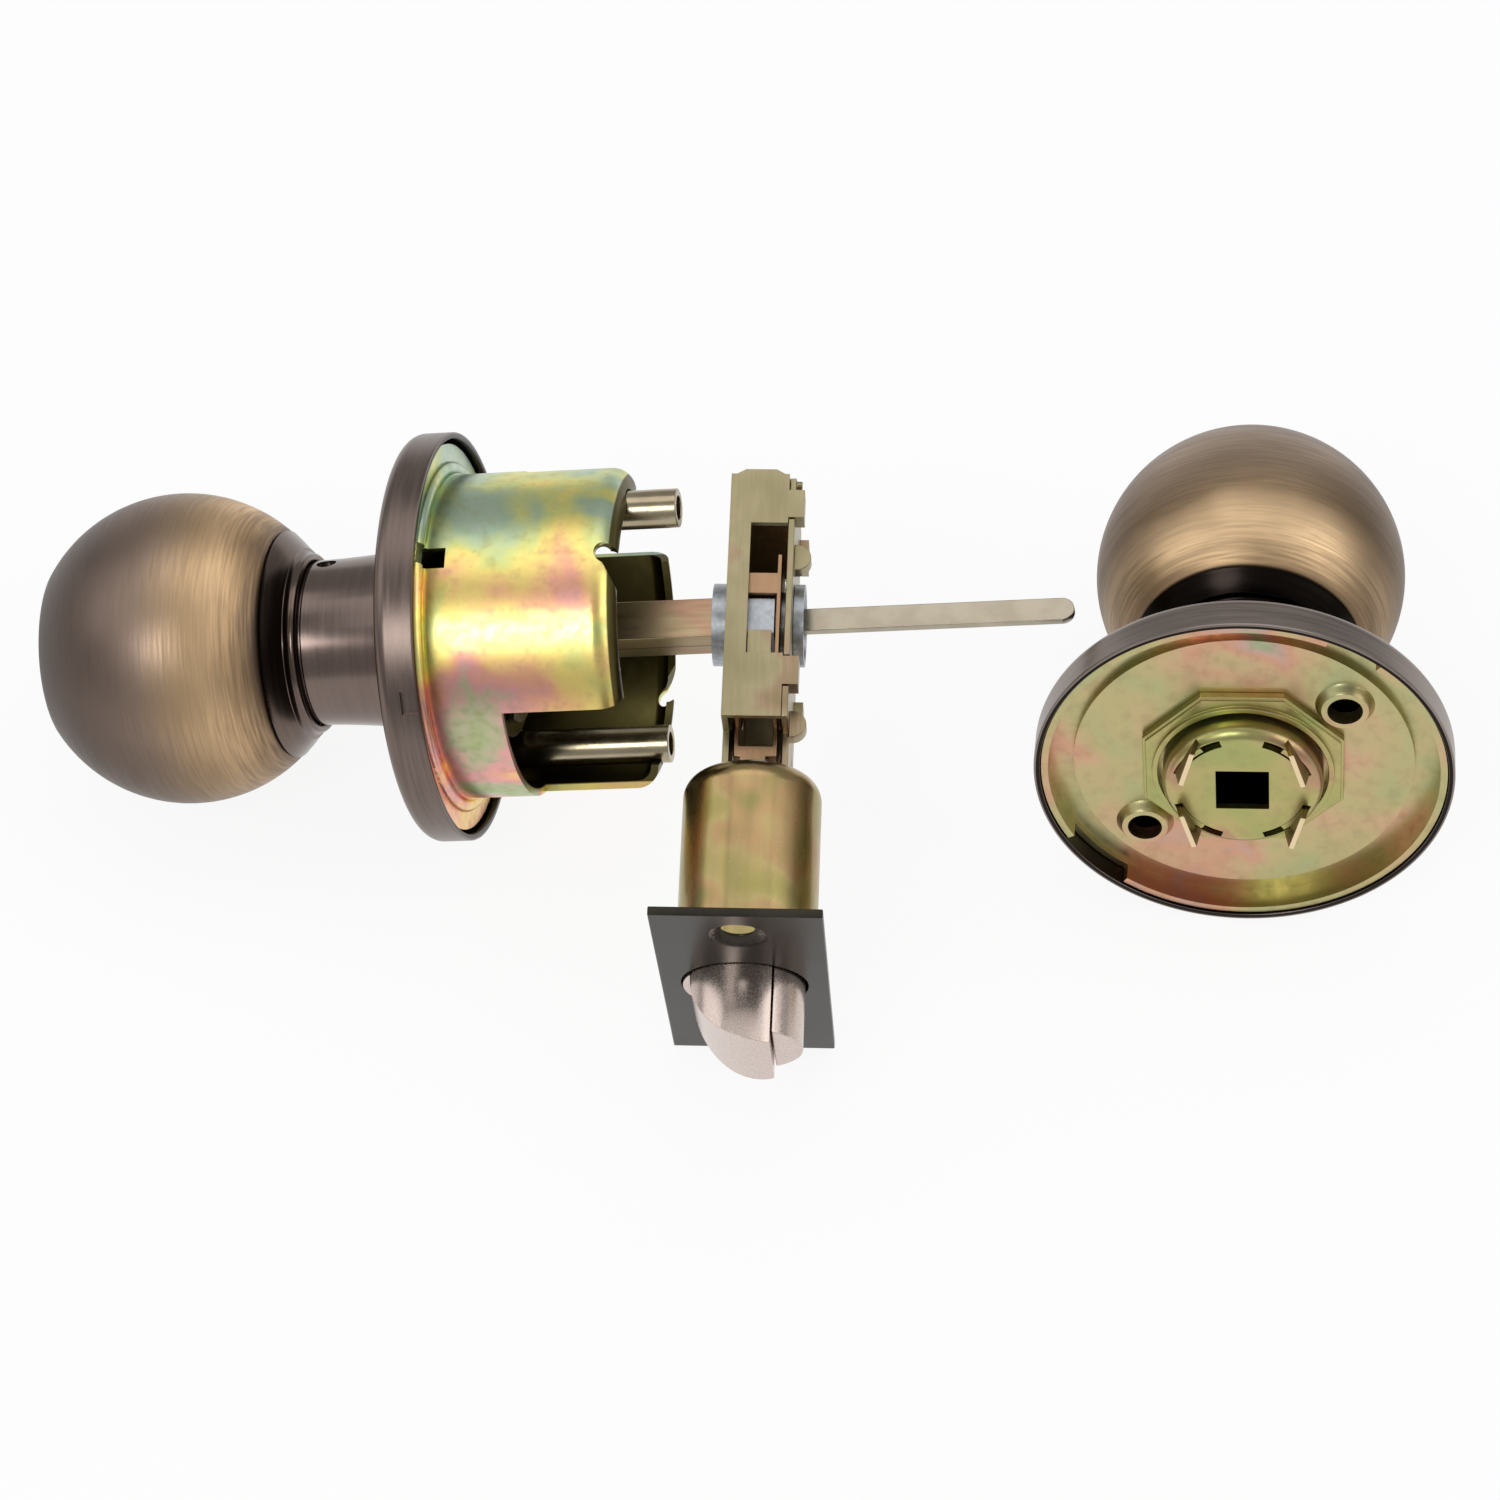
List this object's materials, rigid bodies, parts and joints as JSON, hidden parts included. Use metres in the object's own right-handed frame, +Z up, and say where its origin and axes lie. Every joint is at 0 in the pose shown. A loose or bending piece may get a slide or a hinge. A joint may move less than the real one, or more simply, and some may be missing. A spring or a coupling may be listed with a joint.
{
  "type": "keyed door knob",
  "caption": "Keyed door knob set with spring latch: outer half with cylinder and spindle threaded through the latch, and inner half with turn button, laid out ready to fit",
  "frame": {"origin": "centre of the outer rose's open rim, which is the face that meets the door", "axes": "Z up from the bench; X along the bench away from the outer knob, across the set; Y back across the bench. The outer half's axis leans up from X by the tilt at which it lies on its knob and the edge of its rose"},
  "size_m": [0.2249, 0.1267, 0.0648],
  "materials": {
    "brass": "antique brushed brass, golden in the middle and purplish brown towards the edges",
    "rose": "satin grey-brown bronze lacquer over steel",
    "dark_neck": "dark brown bronze lacquer",
    "zinc": "yellow iridescent zinc plating on pressed steel",
    "khaki": "dull khaki zinc plating on pressed steel",
    "post": "yellow zinc plating on turned steel",
    "nickel": "pinkish satin nickel plating",
    "face": "dark satin bronze lacquer over steel",
    "diecast": "bare die-cast zinc alloy",
    "steel": "spring steel",
    "cylinder": "machined brass",
    "bar": "pale pinkish zinc-plated steel"
  },
  "bodies": {
    "outer_rose_set": {"outer_rose": "rose", "outer_housing": "zinc", "outer_base_plate": "zinc", "outer_spring_cage": "zinc", "outer_return_spring": "steel", "mounting_posts": "post"},
    "outer_knob": {"outer_knob_shell": "brass", "outer_back_cap": "brass", "outer_neck": "rose", "outer_sleeve": "zinc", "sleeve_ring": "steel", "spindle": "bar", "cylinder_body": "cylinder", "pin_cover": "cylinder", "driver_pins": "cylinder", "pin_springs": "steel"},
    "outer_catch": {"outer_catch": "steel"},
    "key_plug": {"key_plug": "cylinder", "key_pins": "cylinder", "plug_clip": "steel", "tail_bar": "bar"},
    "latch": {"latch_case": "khaki", "latch_cover": "khaki", "latch_tube": "zinc", "faceplate": "face", "spring_guide": "steel"},
    "latch_hub": {"latch_hub": "diecast"},
    "latch_bolt": {"retractor": "nickel", "latch_bolt": "nickel", "bolt_spring": "steel"},
    "guard_bolt": {"guard_bolt": "nickel", "guard_spring": "steel"},
    "inner_rose_set": {"inner_rose": "rose", "inner_liner": "zinc", "inner_lock_plate": "zinc", "inner_return_spring": "steel"},
    "inner_knob": {"inner_knob_shell": "brass", "inner_back_cap": "dark_neck", "inner_neck": "dark_neck", "inner_sleeve": "zinc", "inner_retainer": "zinc"},
    "inner_catch": {"inner_catch": "steel"},
    "inner_button": {"inner_button": "brass", "inner_button_stem": "bar"}
  },
  "joints": [
    {"name": "outer_knob_turn", "type": "hinge", "parent": "outer_rose_set", "child": "outer_knob", "pos_m": [0, 0, 0], "axis": [0.9854, 0, 0.1704], "range_deg": [0, 60], "stiffness_Nm_per_rad": 0.15, "springref_deg": -28.65},
    {"name": "key_turn", "type": "hinge", "parent": "outer_knob", "child": "key_plug", "pos_m": [-0.04523, 0, -0.00782], "axis": [0.9854, 0, 0.1704], "range_deg": [-90, 90]},
    {"name": "outer_catch_press", "type": "slide", "parent": "outer_knob", "child": "outer_catch", "axis": [0.1403, -0.5676, -0.8113], "range_m": [0, 0.0016], "stiffness_N_per_m": 800, "springref_m": -0.001},
    {"name": "latch_slide", "type": "slide", "parent": "outer_rose_set", "child": "latch", "axis": [0.9854, 0, 0.1704], "range_m": [0, 0.03]},
    {"name": "hub_turn", "type": "hinge", "parent": "latch", "child": "latch_hub", "pos_m": [0.04677, 0.00012, 0.00747], "axis": [0.9987, 0.0255, 0.0446], "range_deg": [0, 60]},
    {"name": "bolt_retract", "type": "slide", "parent": "latch", "child": "latch_bolt", "axis": [-0.0337, 0.9802, 0.1951], "range_m": [0, 0.0121]},
    {"name": "guard_press", "type": "slide", "parent": "latch", "child": "guard_bolt", "axis": [-0.0337, 0.9802, 0.1951], "range_m": [0, 0.01], "stiffness_N_per_m": 150, "springref_m": -0.01},
    {"name": "inner_half_lift", "type": "slide", "parent": "outer_rose_set", "child": "inner_rose_set", "axis": [0, 0, 1], "range_m": [0, 0.06]},
    {"name": "inner_knob_turn", "type": "hinge", "parent": "inner_rose_set", "child": "inner_knob", "pos_m": [0.1233, -0.018, 0], "axis": [-0.0447, -0.9844, 0.1704], "range_deg": [-60, 60], "stiffness_Nm_per_rad": 0.12},
    {"name": "inner_catch_press", "type": "slide", "parent": "inner_knob", "child": "inner_catch", "axis": [-0.7715, 0.1424, 0.6201], "range_m": [0, 0.0016], "stiffness_N_per_m": 800, "springref_m": -0.001},
    {"name": "inner_button_turn", "type": "hinge", "parent": "inner_knob", "child": "inner_button", "pos_m": [0.1233, -0.018, 0], "axis": [-0.0447, -0.9844, 0.1704], "range_deg": [0, 90]}
  ],
  "couplings": [
    {"joint": "hub_turn", "follows": "outer_knob_turn", "ratio": 1},
    {"joint": "bolt_retract", "follows": "outer_knob_turn", "m_per_rad": 0.011459}
  ]
}
